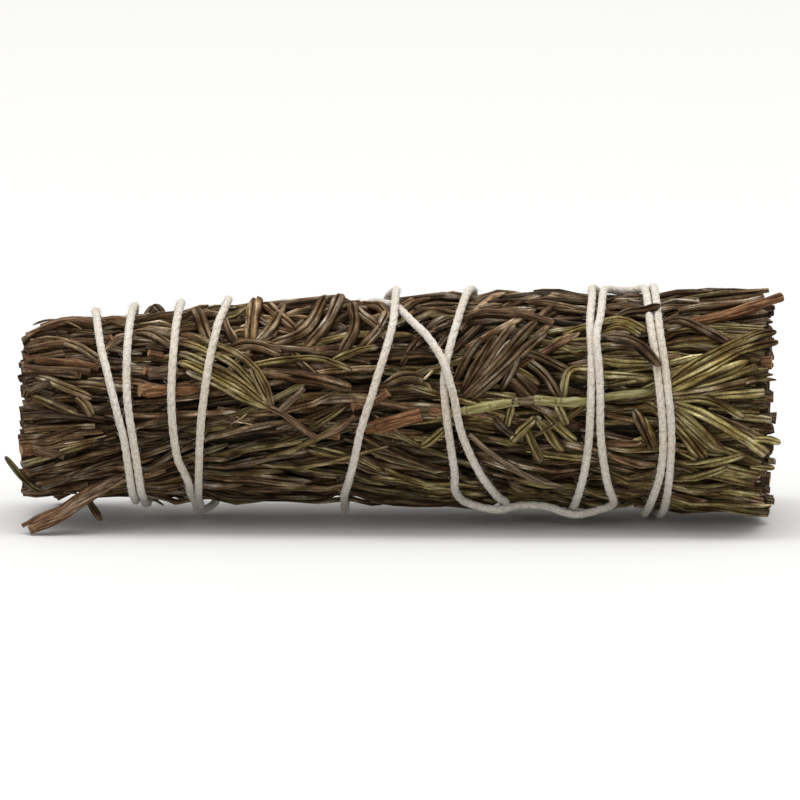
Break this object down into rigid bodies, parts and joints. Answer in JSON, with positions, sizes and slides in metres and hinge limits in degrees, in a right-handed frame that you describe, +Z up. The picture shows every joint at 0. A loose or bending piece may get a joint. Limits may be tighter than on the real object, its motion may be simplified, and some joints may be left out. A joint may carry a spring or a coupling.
{
  "type": "rosemary bundle",
  "caption": "Tied bundle of dried rosemary sprigs, pressed into a thick roll that lies on a surface, with cotton string wound round it.",
  "frame": {"origin": "on the ground under the middle of the bundle", "axes": "+X along the bundle from the woody cut ends to the leafy tips, +Z up, the side that the picture shows faces -Y"},
  "size_m": [0.1128, 0.0351, 0.0361],
  "materials": {
    "brown_needles": "dry, matt, wrinkled brown-grey needles",
    "green_needles": "dry, matt, olive green needles with a groove",
    "bark": "matt, reddish-brown bark with pale cut wood",
    "cotton": "off-white twisted cotton string"
  },
  "bodies": {
    "root": {"sprig_01": "green_needles", "sprig_02": "brown_needles", "sprig_03": "brown_needles", "sprig_04": "brown_needles", "sprig_05": "green_needles", "sprig_06": "brown_needles", "sprig_07": "green_needles", "sprig_08": "brown_needles", "sprig_09": "brown_needles", "sprig_10": "green_needles", "sprig_11": "green_needles", "sprig_12": "green_needles", "sprig_13": "brown_needles", "sprig_14": "brown_needles", "sprig_15": "green_needles", "sprig_16": "brown_needles", "sprig_17": "brown_needles", "sprig_18": "green_needles", "sprig_19": "bark", "twig_front": "bark", "twig_back": "bark", "cotton_string": "cotton"}
  },
  "joints": []
}
